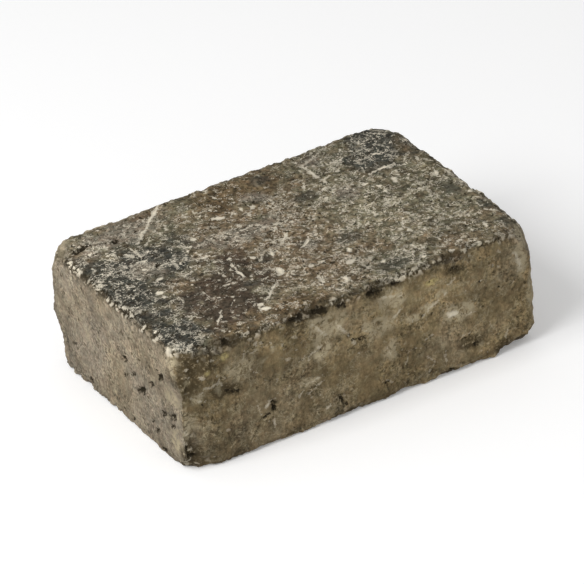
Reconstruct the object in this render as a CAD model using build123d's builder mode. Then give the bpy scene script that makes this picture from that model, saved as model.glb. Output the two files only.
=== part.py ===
from build123d import *

import os
from math import cos, hypot, radians, sin

# A tumbled concrete paver: one pressed block whose edges and corners were knocked off in a drum.
# The origin is the middle of the bed face, X runs along the length, Y along the width, and Z up.

# The block as it leaves the mould, in millimetres
LENGTH = 210.0
WIDTH = 140.0
HEIGHT = 70.0

# How far each worn arris comes in from its side, and how far it reaches down from the top or up from the bed.
# The worn form stands a little outside the flat sides, which keep the face that the mould gave them.
TOP_WEAR = {"front": 5.0, "right": 8.0, "back": 4.5, "left": 3.5}
BED_WEAR = {"front": 3.5, "right": 5.0, "back": 4.0, "left": 1.2}
TOP_ARRIS = 7.0
BED_ARRIS = 5.0
STANDING_OUT = 0.5
ARRIS_ANGLES = (0, 30, 60, 90)

# Each upright corner is knocked to a facet, given by its legs along X and Y at the bed, the waist and the top.
# The ease is the rounding of the facet's two edges, as a share of the mean leg, and the power tells how late
# a facet widens on its way from the waist.
CORNERS = {
    "front_left": {"bed": (18.0, 5.0), "waist": (16.0, 3.5), "top": (24.0, 12.0), "ease": 0.2, "power": 2},
    "front_right": {"bed": (6.0, 6.0), "waist": (4.0, 4.0), "top": (15.0, 15.0), "ease": 1.2, "power": 4},
    "back_right": {"bed": (10.0, 11.0), "waist": (6.0, 6.0), "top": (11.0, 11.0), "ease": 1.0, "power": 2},
    "back_left": {"bed": (10.0, 12.0), "waist": (4.0, 5.0), "top": (11.0, 12.0), "ease": 0.8, "power": 2},
}
WAIST_LEVELS = (0.2, 0.35, 0.5, 0.65, 0.8)

# Spalls struck off edges and corners: the place as shares of the half sizes, the span and the bite of each
SPALLS = (
    ((-0.78, -1.0, 1.0), 34.0, 4.4),
    ((-0.24, -1.0, 1.0), 32.0, 4.2),
    ((0.10, -1.0, 1.0), 15.0, 3.6),
    ((0.55, -1.0, 1.0), 22.0, 3.8),
    ((-1.0, 0.84, 1.0), 26.0, 5.0),
    ((-1.0, -0.20, 1.0), 16.0, 2.6),
    ((-0.55, 1.0, 1.0), 18.0, 2.2),
    ((0.35, 1.0, 1.0), 20.0, 2.4),
    ((-1.0, -1.0, -1.0), 56.0, 8.0),
    ((-1.0, 1.0, -0.8), 58.0, 9.0),
    ((0.90, -1.0, -1.0), 36.0, 5.0),
    ((1.0, -1.0, -1.0), 40.0, 8.0),
    ((0.45, -1.0, -1.0), 14.0, 2.8),
    ((-0.12, -1.0, -1.0), 20.0, 2.4),
    ((0.10, 1.0, -1.0), 26.0, 4.0),
    ((-0.60, 1.0, -1.0), 24.0, 4.4),
    ((1.0, -0.35, -1.0), 24.0, 4.6),
    ((1.0, 0.40, -1.0), 18.0, 4.0),
    ((1.0, 1.0, -0.15), 22.0, 5.5),
)


def facet_legs(corner, height):
    """A corner facet's legs at a height: least at the waist, and growing towards the top and the bed."""
    away = 2 * height / HEIGHT - 1
    end = corner["top"] if away > 0 else corner["bed"]
    growth = abs(away) ** corner["power"]
    return [waist + (worn - waist) * growth for waist, worn in zip(corner["waist"], end)]


def worn_plan(height, wear, share):
    """The corner points of the block's plan at a height, with each side in by a share of its wear."""
    left = -LENGTH / 2 + wear["left"] * share - STANDING_OUT
    right = LENGTH / 2 - wear["right"] * share + STANDING_OUT
    front = -WIDTH / 2 + wear["front"] * share - STANDING_OUT
    back = WIDTH / 2 - wear["back"] * share + STANDING_OUT
    legs = {name: facet_legs(corner, height) for name, corner in CORNERS.items()}
    return (
        (left, front + legs["front_left"][1]),
        (left + legs["front_left"][0], front),
        (right - legs["front_right"][0], front),
        (right, front + legs["front_right"][1]),
        (right, back - legs["back_right"][1]),
        (right - legs["back_right"][0], back),
        (left + legs["back_left"][0], back),
        (left, back - legs["back_left"][1]),
    )


def plan_rounds(height):
    """The rounding of each corner point of the plan at a height, two to a facet."""
    rounds = []
    for corner in CORNERS.values():
        rounds += [corner["ease"] * sum(facet_legs(corner, height)) / 2] * 2
    return rounds


def spall_ball(place, span, bite):
    """Centre and radius of the ball that scoops a spall of that span and bite off a sharp edge or corner."""
    radius = (span / 2) ** 2 / (2 * bite) + bite / 2
    half = (LENGTH / 2, WIDTH / 2, HEIGHT / 2)
    outward = [share if abs(share) == 1 else 0 for share in place]
    reach = (radius - bite) / hypot(*outward)
    x, y, z = [share * size + step * reach for share, size, step in zip(place, half, outward)]
    return (x, y, z + HEIGHT / 2), radius


# Heights at which the plan is drawn, from the bed up, with the wear and the share of it that is gone there.
# Each arris is a quarter ellipse, so its share and its height follow the cosine and the sine of an angle.
arris = [(sin(radians(angle)), 1 - cos(radians(angle))) for angle in ARRIS_ANGLES]
bed_levels = [(BED_ARRIS * (1 - rise), BED_WEAR, share) for rise, share in reversed(arris)]
side_levels = [(HEIGHT * level, TOP_WEAR, 0) for level in WAIST_LEVELS]
top_levels = [(HEIGHT - TOP_ARRIS * (1 - rise), TOP_WEAR, share) for rise, share in arris]

# The moulded block is worn down to the form lofted through those plans, and each spall is a shallow hollow in it
with BuildPart() as paver:
    Box(LENGTH, WIDTH, HEIGHT, align=(Align.CENTER, Align.CENTER, Align.MIN))

    for height, wear, share in bed_levels + side_levels + top_levels:
        with BuildSketch(Plane.XY.offset(height)):
            with BuildLine():
                FilletPolyline(*worn_plan(height, wear, share), radius=plan_rounds(height), close=True)
            make_face()
    loft(ruled=True, mode=Mode.INTERSECT)

    for place, span, bite in SPALLS:
        centre, radius = spall_ball(place, span, bite)
        with Locations(centre):
            Sphere(radius, mode=Mode.SUBTRACT)

paver.part.label = "paver"
os.makedirs("parts", exist_ok=True)
export_step(paver.part, "parts/paver.step")
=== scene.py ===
"""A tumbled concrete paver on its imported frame: the worn block, its concrete and a plain stage."""

import bpy
import numpy as np
from bpy.props import FloatProperty, FloatVectorProperty, IntProperty, IntVectorProperty, PointerProperty
from mathutils import Matrix, Vector


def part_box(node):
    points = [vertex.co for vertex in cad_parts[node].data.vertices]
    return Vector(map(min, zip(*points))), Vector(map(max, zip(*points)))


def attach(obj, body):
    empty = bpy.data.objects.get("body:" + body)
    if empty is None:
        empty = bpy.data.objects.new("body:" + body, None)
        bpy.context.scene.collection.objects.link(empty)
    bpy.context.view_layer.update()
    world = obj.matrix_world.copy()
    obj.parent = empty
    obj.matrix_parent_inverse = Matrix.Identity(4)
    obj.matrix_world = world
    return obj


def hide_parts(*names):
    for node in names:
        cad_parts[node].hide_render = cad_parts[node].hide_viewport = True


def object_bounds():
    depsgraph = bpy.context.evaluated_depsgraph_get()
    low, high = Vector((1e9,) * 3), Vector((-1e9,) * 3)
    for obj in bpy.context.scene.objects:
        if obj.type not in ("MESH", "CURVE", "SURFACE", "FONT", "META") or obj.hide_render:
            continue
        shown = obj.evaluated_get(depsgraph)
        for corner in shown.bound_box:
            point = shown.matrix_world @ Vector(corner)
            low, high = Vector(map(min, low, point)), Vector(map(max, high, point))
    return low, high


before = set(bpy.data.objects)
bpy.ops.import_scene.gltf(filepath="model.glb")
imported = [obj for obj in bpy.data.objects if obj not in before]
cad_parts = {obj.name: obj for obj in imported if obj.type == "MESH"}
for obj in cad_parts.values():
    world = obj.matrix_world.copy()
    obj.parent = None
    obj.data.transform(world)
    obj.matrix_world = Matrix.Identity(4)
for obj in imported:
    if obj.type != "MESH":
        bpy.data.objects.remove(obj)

bl_info = {
    "name": "Tumbled concrete paver",
    "version": (1, 0, 0),
    "blender": (4, 5, 0),
    "location": "3D View > Sidebar > Paver",
    "description": "Builds a tumbled, weathered concrete paver on its packed frame, with a plain stage",
    "category": "Add Mesh",
}

CAD_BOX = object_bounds()

# Shapes are worked out in millimetres in the frame's own axes, and go to metres when a mesh is made
MM = 0.001
BLOCK_LOW, BLOCK_HIGH = (np.array(corner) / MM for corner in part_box("paver"))
LENGTH, WIDTH, HEIGHT = BLOCK_HIGH - BLOCK_LOW
HALF = (BLOCK_HIGH - BLOCK_LOW) / 2

# The sides in the order that wear is given in: the axis that each faces along, and which way
SIDES = {"front": (1, -1), "right": (0, 1), "back": (1, 1), "left": (0, -1)}

# Each upright corner is knocked to a facet, given by its legs along X and Y at the bed, the waist and top.
# The ease is the rounding of the facet's two edges, as a share of the mean leg, and the power tells how late
# a facet widens on its way from the waist.
CORNERS = {
    ("left", "front"): {"bed": (18, 5), "waist": (16, 3.5), "top": (24, 12), "ease": 0.2, "power": 2},
    ("right", "front"): {"bed": (6, 6), "waist": (4, 4), "top": (15, 15), "ease": 1.2, "power": 4},
    ("right", "back"): {"bed": (10, 11), "waist": (6, 6), "top": (11, 11), "ease": 1, "power": 2},
    ("left", "back"): {"bed": (10, 12), "waist": (4, 5), "top": (11, 12), "ease": 0.8, "power": 2},
}

# The softness that rounds two planes half a right angle apart to a radius of one
EASE_SOFTNESS = 0.147

# How far sides that meet share their wear
WEAR_BLEND = 6.0

# The worn form stands a little outside the flat sides, which keep the face that the mould gave them
STANDING_OUT = 0.5

# Spalls struck off edges and corners: the place as shares of the half sizes, the span and the bite of each
SPALLS = (
    ((-0.78, -1, 1), 34, 4.4),
    ((-0.24, -1, 1), 32, 4.2),
    ((0.10, -1, 1), 15, 3.6),
    ((0.55, -1, 1), 22, 3.8),
    ((-1, 0.84, 1), 26, 5),
    ((-1, -0.20, 1), 16, 2.6),
    ((-0.55, 1, 1), 18, 2.2),
    ((0.35, 1, 1), 20, 2.4),
    ((-1, -1, -1), 56, 8),
    ((-1, 1, -0.8), 58, 9),
    ((0.90, -1, -1), 36, 5),
    ((1, -1, -1), 40, 8),
    ((0.45, -1, -1), 14, 2.8),
    ((-0.12, -1, -1), 20, 2.4),
    ((0.10, 1, -1), 26, 4),
    ((-0.60, 1, -1), 24, 4.4),
    ((1, -0.35, -1), 24, 4.6),
    ((1, 0.40, -1), 18, 4),
    ((1, 1, -0.15), 22, 5.5),
)

# A quarter ellipse's tangent at its middle cuts this share off each of its half axes
TANGENT_SHARE = 2 - 2**0.5

# The faces that the photo shows: the axis that each faces along, which way, and the two axes that lie in it
SEEN_FACES = {"left": (0, -1, (1, 2)), "front": (1, -1, (0, 2)), "top": (2, 1, (0, 1))}

# Bug holes, cracks and notches seen on those faces: the two ends of each, its radius and its depth
HOLLOWS = {
    "left": (
        ((-8.2, 39), (-10.8, 40.6), 1.8, 2),
        ((-16.4, 34.1), (-19, 35.7), 1.2, 1.3),
        ((-21, 26.7), (-28, 30.9), 1.8, 2.4),
        ((-24.7, 26.5), (-27.3, 28.1), 0.9, 1),
        ((-7, 28.9), (-11, 31.3), 0.8, 0.8),
        ((-34.6, 37.2), (-37.2, 38.8), 1.4, 1.5),
        ((-45.1, 47.1), (-47.7, 48.7), 2, 2.2),
        ((-41.4, 48.9), (-45, 51.1), 0.5, 0.5),
        ((-55.1, 28.5), (-57.7, 30.1), 2.1, 2.3),
        ((-53.9, 22), (-56.5, 23.6), 1, 1),
        ((-45.4, 25.2), (-48.6, 27.2), 1.6, 1.6),
        ((-43.2, 18.6), (-45.8, 20.2), 0.6, 0.5),
        ((-32.1, 13.6), (-34.7, 15.2), 0.8, 0.8),
        ((-37.1, 11), (-39.7, 12.6), 1.2, 1.1),
        ((-0.9, 4.8), (-3.5, 6.4), 0.8, 0.8),
        ((-11, 4.1), (-13.6, 5.7), 0.8, 0.7),
        ((33.5, 4.1), (30.9, 5.7), 1.9, 1.8),
        ((46.5, 20.1), (44, 21.7), 0.8, 0.5),
        ((-42.1, 1.9), (-44.7, 3.5), 1.4, 1.2),
    ),
    "front": (
        ((-83, 43), (-79.5, 41.8), 0.6, 0.7),
        ((-79.5, 41.8), (-77.8, 41.2), 1, 1.4),
        ((-77, 40.6), (-72.8, 39.4), 0.8, 1),
        ((-94.6, 39.4), (-93, 38.2), 0.6, 0.6),
        ((-54.5, 25.4), (-54, 21.2), 1.6, 2.4),
        ((-61, 18.2), (-57.6, 19.4), 0.6, 0.7),
        ((-78.6, 15.2), (-78.8, 14.6), 0.6, 0.6),
        ((-16, 13.4), (-14.4, 10.4), 0.9, 1.4),
        ((-14, 9.4), (-12.6, 7.4), 0.9, 1.4),
        ((11.6, 10.4), (14.2, 10.8), 0.8, 1),
        ((56, 18.4), (63, 19.4), 0.5, 0.7),
        ((65.6, 13.4), (67, 12.6), 1.1, 1.3),
        ((50.6, 3.4), (52.2, 2.4), 1.6, 1.8),
        ((-6.4, 43.6), (-2, 42.4), 0.7, 0.9),
        ((-2, 42.4), (0.8, 42.2), 0.9, 1),
        ((-8, 50), (-7.4, 46), 0.4, 0.5),
        ((-10, 38.6), (-4, 40), 0.4, 0.5),
        ((-25.2, 45.2), (-25.4, 44.6), 0.6, 0.7),
        ((34.6, 42.6), (35.4, 42), 0.7, 0.7),
        ((40.4, 41.2), (41, 40.6), 0.7, 0.7),
        ((70.4, 49.6), (71, 48), 0.6, 0.6),
        ((-106, 18), (-103.4, 14), 1.1, 1.4),
        ((-104, 11.4), (-100.8, 10), 1.2, 1.6),
        ((-90.8, 69.2), (-88, 69), 1.2, 1.4),
        ((-77.6, 68.4), (-75.4, 67.8), 1.2, 1.4),
        ((-40, 68.2), (-33.6, 67.4), 1.5, 1.8),
        ((-26.6, 67.2), (-20.4, 66.4), 1.3, 1.6),
        ((-12.2, 66.2), (-9.6, 65.6), 1.4, 1.5),
        ((5.2, 66.8), (11.4, 65.8), 1.5, 1.8),
        ((20, 66.8), (22.6, 66.4), 1, 1.2),
        ((54.6, 62.8), (58, 61.8), 1.1, 1.3),
    ),
    "top": (
        ((-96, 51.4), (-88, 54), 1.9, 2),
        ((-74, 48.6), (-74.8, 47.6), 1.6, 1.6),
        ((-68, 15.6), (-68.8, 14.6), 1.6, 1.6),
        ((-92.4, 19.2), (-92.8, 18.4), 1, 1),
        ((-62.4, 42), (-62.8, 41), 0.9, 0.9),
    ),
}

# How far a hollow's mark takes to fall from full to nothing, its level at the rim, and the narrowest cut
HOLLOW_REACH = 3.0
RIM_LEVEL = 0.575
LEAST_RADIUS = 1.0

# Scores dragged across the top, scuffs of the front and lumps of lime: the two ends of each in the face,
# and how strong it is
SCORES = {
    "top": (
        ((-37.5, 67.5), (-52, 53), 1.08),
        ((-52, 53), (-66, 40), 0.96),
        ((-37.7, -6.9), (-39.9, -23), 0.95),
        ((-26.7, -35.4), (-34, -41), 0.9),
        ((-34, -41), (-42, -47.2), 0.96),
        ((-64, -41.3), (-75, -55.2), 0.86),
        ((57.6, 62.7), (41.5, 54), 0.84),
        ((41.5, 54), (43.7, 37.8), 0.98),
        ((43.7, 37.8), (42.9, 30.5), 0.88),
        ((42.9, 30.5), (34, 24), 0.82),
        ((37, 44), (28, 30), 0.8),
        ((0.4, 1.2), (-5.4, -3.2), 0.95),
        ((-14.2, -6.1), (-17.1, -15), 0.92),
        ((7.8, -9), (-1, -15), 0.92),
        ((81, 27.6), (66.4, 26), 0.94),
        ((100, 14), (101, -21), 0.95),
        ((-71.4, 39.3), (-72, 21.7), 0.86),
        ((-46.5, 14.4), (-46.5, 2.7), 0.88),
        ((-21, -25.5), (-22, -30.5), 1.22),
        ((9.6, -42.4), (13.4, -41.4), 1.3),
        ((-22.4, 37.2), (-17, 35), 1.14),
        ((-9, -44), (-9.4, -50), 1.04),
        ((1.8, -52.6), (0.6, -56.4), 1.16),
        ((-47.4, -53.8), (-44.4, -55.2), 1.12),
        ((24.6, -51.4), (24.8, -51.8), 1.2),
        ((-0.2, 37.6), (-0.6, 33.4), 1.02),
        ((74, 15.6), (73.4, 11.4), 1.08),
        ((18.4, -30.8), (17.4, -33), 1.12),
        ((-52, -22.8), (-46, -23.4), 0.9),
        ((-62.4, -2.4), (-56.6, -1.2), 0.98),
        ((-76.2, 3.2), (-72.4, 2.4), 0.95),
        ((-81, -12.4), (-80.8, -15), 1),
        ((95.4, 9), (94.6, 4.2), 1),
    ),
    "front": (
        ((-95, 46), (-79, 49.5), 0.8),
        ((-96.5, 42), (-92, 40), 0.95),
        ((-72, 60), (-61, 58.4), 0.8),
        ((-61.8, 62.4), (-61.2, 62), 1),
        ((-47.4, 62), (-46.4, 53), 0.82),
        ((-44.6, 46.8), (-42.8, 46.2), 0.95),
        ((-38, 42.3), (-24.4, 45.9), 0.84),
        ((-51.4, 37.4), (-50.8, 37), 1),
        ((-29.4, 60.9), (-21, 51.6), 0.95),
        ((-16.6, 58.7), (-8, 45.9), 0.88),
        ((-26.2, 47.6), (-24.4, 45.8), 1),
        ((-7, 42.4), (-3.7, 40.2), 0.9),
        ((0.6, 48.7), (2, 44.4), 0.86),
        ((10.6, 62.3), (23.4, 58.7), 0.86),
        ((17.7, 47.3), (24.9, 51.6), 0.88),
        ((34.9, 40.9), (50.6, 50.1), 0.86),
        ((51, 37.2), (56.3, 35.4), 1.2),
        ((60.6, 33), (67.7, 31.6), 0.95),
        ((71.6, 49.8), (72.4, 49), 0.95),
        ((13.4, 31.6), (16.3, 24.4), 0.88),
        ((-33.7, 23), (-32.3, 18.7), 0.88),
        ((-38, 28.7), (-22.3, 30.1), 0.82),
        ((-55.1, 15.9), (-54.4, 10.1), 0.92),
        ((-25.1, 8.7), (-20.9, 10.9), 0.95),
        ((-59.4, 23.7), (-56.6, 25.6), 0.95),
        ((12, 12.4), (16.3, 8.8), 0.86),
        ((56.3, 20.6), (63.4, 21.4), 0.84),
        ((24.6, 11), (25.2, 10.6), 0.9),
        ((93, 58), (96.3, 47.3), 1.05),
        ((82, 63), (85, 61.6), 0.95),
        ((-105, 26), (-102.4, 21.6), 1),
        ((-65, 49.4), (-62, 45.9), 0.84),
        ((-89, 62.6), (-86, 61.8), 0.9),
        ((-100, 58.6), (-97.6, 57.6), 0.95),
        ((-94.4, 53.8), (-92.4, 53.4), 0.95),
    ),
}

# Stray scores between those: how many, how long and how strong, and how far inside the face they start
STRAY_SCORES = {"top": 170, "front": 60}
STRAY_LENGTH = (2.0, 12.0)
STRAY_STRENGTH = (0.6, 0.84)
STRAY_MARGIN = 4.0

# How far a score takes to fade beside its line, and how much it weakens at its ends
SCORE_REACH = 3.0
SCORE_TAPER = 0.16

# How thickly pale chips and dark gaps of painted shade crowd along each top arris and along the other edges,
# and what the corner at the front left adds
ARRIS_CHIPS = {"front": 0.72, "right": 0.8, "back": 0.6, "left": 1}
OTHER_CHIPS = 0.2
CORNER_CHIPS = 0.4

# Dyes of the top, stains with painted shade and bloom of the sides: the middle and the half width of each
# patch along the axes
PATCHES = {
    "olive": (
        ((62, -5, 70), (46, 52, 9)),
        ((25, -55, 70), (40, 16, 9)),
        ((-100, -66, 66), (14, 10, 10)),
    ),
    "umber": (
        ((-6, -25, 70), (30, 48, 9)),
        ((-8, 14, 70), (34, 26, 9)),
    ),
    "russet": (
        ((-10, 54, 70), (24, 15, 9)),
        ((12, 52, 70), (18, 14, 9)),
        ((-66, -58, 70), (22, 11, 9)),
        ((-30, -60, 70), (18, 8, 9)),
    ),
    "plum": (
        ((-54, -24, 70), (30, 22, 9)),
        ((-62, -42, 70), (22, 16, 9)),
        ((-36, -4, 70), (10, 12, 9)),
    ),
    "ash": (
        ((-72, 54, 70), (32, 12, 9)),
        ((-76, 14, 70), (10, 9, 9)),
        ((-20, 16, 70), (28, 9, 9)),
        ((6, 42, 70), (9, 7, 9)),
        ((48, 16, 70), (8, 8, 9)),
        ((49, 56, 70), (7, 7, 9)),
    ),
    "charcoal": (
        ((-92, 4, 70), (22, 50, 9)),
        ((-66, 24, 70), (24, 24, 9)),
        ((-92, -48, 70), (14, 24, 9)),
        ((84, 48, 70), (25, 24, 9)),
    ),
    "smoke": (
        ((29, 26, 70), (9, 4.5, 9)),
        ((72, 32, 70), (14, 10, 9)),
        ((-40, -29, 70), (4, 4, 6)),
        ((24, -22, 70), (7, 7, 6)),
        ((18, 57, 70), (5, 6, 6)),
        ((97, -56, 70), (5, 7, 6)),
        ((97, -37, 70), (5, 8, 6)),
        ((29, -57, 70), (13, 6, 6)),
        ((4, -14, 70), (7, 5, 6)),
        ((-21, -13, 70), (6, 5, 6)),
        ((92, -13, 70), (6, 9, 6)),
    ),
    "bare": (
        ((-102, 66, 66), (10, 9, 12)),
        ((-66, 71, 70), (34, 5, 6)),
        ((20, 71, 70), (70, 3.4, 5)),
        ((103, -68, 66), (9, 9, 10)),
    ),
    "stain_and_shade": (
        ((-95, -66, 60), (15, 14, 10)),
        ((-100, -66, 54), (8, 14, 8)),
        ((-80, -70, 42), (9, 10, 4)),
        # These along the front arris lie on its notches and are painted shade as well as stain
        ((-37, -69, 67.5), (7, 6, 4)),
        ((-23.5, -69, 66.5), (6.5, 6, 3.6)),
        ((-11, -69, 66), (4, 6, 3.2)),
        ((8.4, -69, 66.2), (6.5, 6, 4)),
        ((21.5, -69, 66.5), (4.5, 6, 3)),
        ((-76.6, -68, 68), (4, 6, 3.2)),
        ((56, -69, 62), (8, 7, 3.6)),
        ((83.4, -70, 6.6), (7, 8, 5)),
        ((64, -70, 16), (9, 8, 4)),
        ((-101, -66, 12), (6, 8, 7)),
        ((-10, 70, 10), (22, 8, 6)),
        ((66, 69, 58), (14, 8, 6)),
        ((104, 38, 9), (8, 16, 6)),
        ((104, -22, 60), (8, 12, 5)),
    ),
    "bloom": (
        ((58, -70, 36), (13, 8, 6)),
        ((-22, -70, 57), (13, 8, 9)),
        ((-23, -70, 46), (6, 8, 6)),
        ((16, -70, 57), (12, 8, 9)),
        ((8, -70, 46), (10, 8, 8)),
        ((96.5, -68, 53), (6, 8, 11)),
        ((103, -65, 34), (4, 7, 24)),
        ((-97, -66, 43), (5, 8, 4)),
        ((-102, -66, 28), (4, 8, 10)),
        ((-105, -58, 40), (8, 8, 6)),
        ((-105, -57, 16), (8, 6, 7)),
        ((-105, -61, 61), (7, 4, 6)),
        ((-76, 70, 69), (34, 4.5, 4)),
        ((-32, -70, 29), (9, 8, 2)),
        ((15, -70, 30), (5, 8, 7)),
        ((30, -70, 42), (5, 8, 2.2)),
        ((38, -70, 46), (5, 8, 2.4)),
        ((47, -70, 50), (5, 8, 2.4)),
        ((-70, -70, 52), (9, 8, 7)),
        ((38, 70, 38), (16, 8, 9)),
        ((-46, 70, 26), (10, 8, 14)),
        ((105, 22, 44), (8, 14, 9)),
        ((105, -34, 24), (8, 10, 7)),
    ),
    "lichen": (
        ((-104, -64, 67), (2.6, 3, 2.4)),
        ((-80, -69, 62.3), (2.8, 4, 2.6)),
        ((42, -69.5, 59.6), (3.6, 4, 1.5)),
        ((-90, -68, 55.9), (1.8, 4, 1.6)),
    ),
    "chip": (
        ((-104, -57.5, 69), (2.4, 2.8, 2.8)),
        ((100, -65, 54), (3, 5, 4.6)),
        ((53.6, -70, 36.2), (2.6, 5, 1.6)),
    ),
}

# The patches that dye the top, in the order in which they are laid over each other
DYES = ("olive", "umber", "russet", "plum", "charcoal", "ash")

# How far noise pushes a patch about, as a share of its middle half width
PATCH_WANDER = 0.24

# Zones that are knocked off less evenly than the rest, or more: along each axis and way, the stretch over
# which the zone sets in, and what it adds to the unevenness. Spalls take a share of it.
PLAIN_UNEVENNESS = 0.75
UNEVEN_ZONES = {
    "back arris": {"spans": ((1, 1, 50, 66), (2, 1, 46, 62)), "adds": -0.5},
    "front left": {"spans": ((0, -1, 78, 98), (1, -1, 46, 62)), "adds": 0.55},
}
SPALL_CRUMBLE = 0.6

# Noises that wear, relief and marks follow: the wavelength, the octaves, the step of the seed and the height
NOISES = {
    "crumble": (17, 4, 1, 1.0),
    "edge line": (11, 1, 3, 1.5),
    "edge gaps": (23, 1, 4, 1.0),
    "dye line": (8, 3, 5, 1.3),
    "arris line": (6, 1, 6, 0.8),
    "front line": (7, 3, 81, 0.3),
    "swell": (60, 2, 58, 1.0),
    "lumps": (13, 3, 50, 1.0),
    "grain": (3.4, 2, 55, 1.0),
    "hollow rims": (3.4, 2, 64, 0.5),
    "score gaps": (5, 2, 75, 0.14),
    "patch edges": (8, 3, 140, 0.25),
    "earth": (38, 3, 80, 0.3),
}

# Noises that push points about, with a step of the seed for each axis
DRIFTS = {
    "patches": (26, 3, (100, 110, 120), 1.0),
    "scores": (9, 2, (60, 65), 0.8),
    "gravel": (5, 1, (46, 47, 48), 1.6),
}

# Pits strewn at random: the pitch of their cells, the share of the cells that hold one, the least and the
# greatest radius, and the step of the seed
PITS = {"fine": (5.2, 0.34, (0.7, 1.7), 20), "bug hole": (12, 0.4, (0.9, 2.8), 30)}

# Stretches over which a zone of the skin sets in: depths and heights, the share of a normal that points
# a way, and noises, bowls and bells at their own scale
SPANS = {
    "edge": (7.5, 2.0),
    "edge gaps": (-0.35, 0.35),
    "arris band": (5.0, 2.4),
    "spall": (-0.5, 0.1),
    "dyed": (HEIGHT - 4.4, HEIGHT - 1.6),
    "near top": (HEIGHT - 9, HEIGHT - 6),
    "upward": (0.35, 0.8),
    "frontward": (0.35, 0.8),
    "seen side": (0.4, 0.8),
    "hollowed side": (0.25, 0.5),
    "stone gap": (0.32, 0.04),
    "bug hole": (0.0, 0.6),
    "fine pit": (0.1, 0.7),
    "patch": (0.2, 0.75),
}

# How rough lumps and grain are on plain faces, what an edge and the dyed face add to that, how rough a spall
# is beside an edge, and the least of an edge's own roughness
PLAIN_ROUGHNESS = 0.7
EDGE_ROUGHNESS = 0.6
DYED_ROUGHNESS = 0.5
SPALL_SHARE = 0.8
EDGE_LEAST = 0.3

# Gravel along the edges: its pitch and the step of its seed, and then, as shares of the chunks' height,
# how far stones differ, how deep the gaps between them are and what the top arris loses
GRAVEL_PITCH = 3.4
GRAVEL_SEED = 45
STONE_HEIGHT = 0.9
STONE_GAP = 0.4
TOP_LOSS = 0.15

# How far the relief's mean level lies below the worn form, how deep a score is, the depths of strewn pits as
# shares of the pitting, and how dark fine pits are marked
MEAN_DROP = 0.25
SCORE_DEPTH = 0.25
FINE_DEPTH = 0.8
BUG_HOLE_DEPTH = 1.8
FINE_PIT_MARK = 0.7

# How strongly the front and all sides are stained with earth, and how the front's gradient, darker to its
# left and bottom, falls along X and up
FRONT_EARTH = 0.85
PLAIN_EARTH = 0.1
GRADIENT_BASE = 0.8
GRADIENT_ALONG = 0.5
GRADIENT_UP = 0.7

# The height that the mark of relief shows as its middle, and how steeply it rises. The mark paints shade
# into the colour of hollows and highlight onto crests.
RELIEF_SHADE_MIDDLE = 0.1
RELIEF_SHADE_GAIN = 0.6


def length_setting(name, description, default):
    """A setting in metres."""
    return FloatProperty(name=name, description=description, default=default, unit="LENGTH")


def side_lengths_setting(name, description, default):
    """A setting in metres for each of the four sides."""
    return FloatVectorProperty(name=name, description=description, default=default, size=4, unit="LENGTH")


def colour_setting(name, description, default):
    """A setting that is a colour."""
    return FloatVectorProperty(name=name, description=description, default=default, subtype="COLOR")


class PaverShape(bpy.types.PropertyGroup):
    """The sizes of the worn block and of its relief"""

    grid: IntVectorProperty(
        name="Grid",
        description="Squares along the length, the width and the height",
        default=(200, 133, 67),
        min=8,
    )
    top_wear: side_lengths_setting(
        "Top wear",
        "How far the top arris comes in from the front, right, back and left sides",
        (0.005, 0.008, 0.0045, 0.0035),
    )
    bed_wear: side_lengths_setting(
        "Bed wear",
        "How far the bed arris comes in from the front, right, back and left sides",
        (0.0035, 0.005, 0.004, 0.0012),
    )
    top_arris: length_setting("Top arris", "How far the top arris reaches down", 0.007)
    bed_arris: length_setting("Bed arris", "How far the bed arris reaches up", 0.005)
    softness: length_setting("Softness", "Rounding where two worn planes meet", 0.0006)
    crumble: length_setting("Crumble", "How unevenly arrises and corners are knocked off", 0.0016)
    swell: length_setting("Swell", "Height of the broad unevenness of every face", 0.00035)
    lump: length_setting("Lumps", "Height of the lumps the size of gravel", 0.0004)
    grain: length_setting("Grain", "Height of the sandy grain", 0.00026)
    chunk: length_setting("Chunks", "Height of the gravel that stands out along the edges", 0.0014)
    pitting: length_setting("Pitting", "Depth of the small pits", 0.0008)
    seed: IntProperty(name="Seed", description="Which block of the batch this is", default=7, min=0)


class ConcreteFinish(bpy.types.PropertyGroup):
    """The colours of the weathered concrete"""

    charcoal: colour_setting("Charcoal", "Dark dye of the top", (0.043, 0.0445, 0.039))
    plum: colour_setting("Plum", "Purple-brown dye of the top", (0.064, 0.047, 0.033))
    umber: colour_setting("Umber", "Brown dye of the top", (0.169, 0.127, 0.077))
    russet: colour_setting("Russet", "Red-brown dye of the top", (0.135, 0.096, 0.052))
    olive: colour_setting("Olive", "Grey-green dye of the top", (0.168, 0.149, 0.095))
    ash: colour_setting("Ash", "Pale grey dye of the top", (0.225, 0.193, 0.147))
    beige: colour_setting("Beige", "Clean sandy concrete of the body", (0.21, 0.177, 0.132))
    ochre: colour_setting("Ochre", "Earth-stained concrete of the body", (0.1925, 0.146, 0.077))
    # The dark olive also paints the shade in spalls and in the notches under the front arris
    moss_and_shade: colour_setting("Moss", "Dark olive stain of the sides", (0.057, 0.042, 0.021))
    lime: colour_setting("Lime", "Pale lime flecks, scores and chips", (0.81, 0.735, 0.585))
    cream: colour_setting("Cream", "Pale bloom of the sides", (0.43, 0.365, 0.24))
    lichen: colour_setting("Lichen", "Yellow specks of lichen", (0.46, 0.38, 0.17))
    # Grime also paints the shade in pits and in the gaps between the edge's stones
    grime_and_shade: colour_setting("Grime", "Dirt in pits and hollows", (0.034, 0.026, 0.014))


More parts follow.
